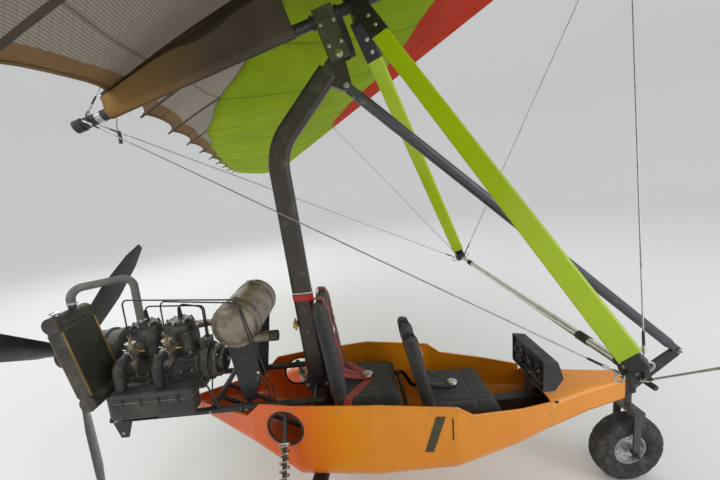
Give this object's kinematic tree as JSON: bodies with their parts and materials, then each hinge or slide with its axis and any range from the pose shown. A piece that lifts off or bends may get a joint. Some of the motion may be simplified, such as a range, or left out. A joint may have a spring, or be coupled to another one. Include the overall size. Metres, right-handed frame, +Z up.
{
  "type": "microlight trike",
  "caption": "Open two-seat microlight trike with a pusher propeller on a bent mast, slung under a swept flexible wing.",
  "frame": {"origin": "on the floor under the middle of the whole aircraft's box", "axes": "+X forward, +Y to port along the span, +Z up"},
  "size_m": [3.7621, 9.7, 3.5072],
  "materials": {
    "alloy_black": "black anodised, satin",
    "mast_alloy": "dark brown powder coat, satin",
    "strut_alloy": "dark grey anodised, satin",
    "bar_alloy": "clear anodised, satin",
    "bracket_alloy": "dark olive anodised, satin",
    "lime_sleeve": "lime sleeve over alloy tube",
    "pod_orange": "gloss gelcoat on thin laminate",
    "panel_black": "matt black with round dials",
    "seat_black": "black woven upholstery over foam",
    "tank_plastic": "natural translucent polyethylene",
    "engine_alloy": "dark cast alloy",
    "gearbox_alloy": "cast alloy",
    "carb_alloy": "cast and machined alloy",
    "exhaust_steel": "heat-stained steel",
    "radiator_black": "black painted core",
    "hose_rubber": "reinforced rubber",
    "box_plastic": "black moulded, satin",
    "cable_black": "black sheathed cable",
    "steel": "stainless wire and fittings",
    "fork_steel": "black powder coat",
    "tyre": "worn tread",
    "rim_alloy": "cast alloy",
    "prop_black": "black composite with pale edge guard",
    "sail_grey": "pale laminate sailcloth with scrim",
    "sail_lime": "lime woven sailcloth",
    "sail_red": "red woven sailcloth",
    "pocket_brown": "dark woven sailcloth"
  },
  "bodies": {
    "trike": {"keel_beam": "alloy_black", "mast": "mast_alloy", "front_strut": "strut_alloy", "engine_frame": "alloy_black", "seat_frame": "alloy_black", "gear_leg_left": "alloy_black", "gear_leg_right": "alloy_black", "spat_left": "pod_orange", "spat_right": "pod_orange", "pod_shell": "pod_orange", "pod_cowl": "pod_orange", "instrument_panel": "panel_black", "seat_front": "seat_black", "seat_rear": "seat_black", "fuel_tank": "tank_plastic", "engine_block": "engine_alloy", "gearbox": "gearbox_alloy", "carburettors": "carb_alloy", "exhaust_pipes": "exhaust_steel", "silencer": "exhaust_steel", "radiator": "radiator_black", "coolant_hose": "hose_rubber", "airbox": "box_plastic", "engine_cables": "cable_black"},
    "fork": {"nose_fork": "fork_steel"},
    "nose_wheel": {"nose_hub": "rim_alloy", "nose_tyre": "tyre"},
    "wheel_left": {"hub_left": "rim_alloy", "tyre_left": "tyre"},
    "wheel_right": {"hub_right": "rim_alloy", "tyre_right": "tyre"},
    "propeller": {"prop_hub": "alloy_black", "prop_blades": "prop_black"},
    "hang_bracket": {"hang_bracket": "bracket_alloy"},
    "wing": {"keel_tube": "alloy_black", "edge_tubes": "alloy_black", "downtubes": "lime_sleeve", "base_bar": "bar_alloy", "bar_fittings": "alloy_black", "kingpost": "alloy_black", "lower_wires": "steel", "upper_wires": "steel", "sail_upper": "sail_grey", "sail_lower": "sail_lime", "sail_edge": "sail_red", "keel_pocket": "pocket_brown"}
  },
  "joints": [
    {"name": "steering", "type": "hinge", "parent": "trike", "child": "fork", "pos_m": [1.608, 0, 0.6], "axis": [0, 0, 1], "range_deg": [-30, 30]},
    {"name": "nose_wheel_turn", "type": "hinge", "parent": "fork", "child": "nose_wheel", "pos_m": [1.608, 0, 0.2], "axis": [0, 1, 0], "continuous": true},
    {"name": "wheel_left_turn", "type": "hinge", "parent": "trike", "child": "wheel_left", "pos_m": [-0.292, 0.85, 0.2], "axis": [0, 1, 0], "continuous": true},
    {"name": "wheel_right_turn", "type": "hinge", "parent": "trike", "child": "wheel_right", "pos_m": [-0.292, -0.85, 0.2], "axis": [0, 1, 0], "continuous": true},
    {"name": "propeller_turn", "type": "hinge", "parent": "trike", "child": "propeller", "pos_m": [-1.362, 0, 1.07], "axis": [1, 0, 0], "continuous": true},
    {"name": "wing_pitch", "type": "hinge", "parent": "trike", "child": "hang_bracket", "pos_m": [0.148, 0, 2.4], "axis": [0, -1, 0], "range_deg": [-14, 8]},
    {"name": "wing_roll", "type": "hinge", "parent": "hang_bracket", "child": "wing", "pos_m": [0.09547, 0, 2.56168], "axis": [0.9511, 0, 0.309], "range_deg": [-18, 18]}
  ]
}
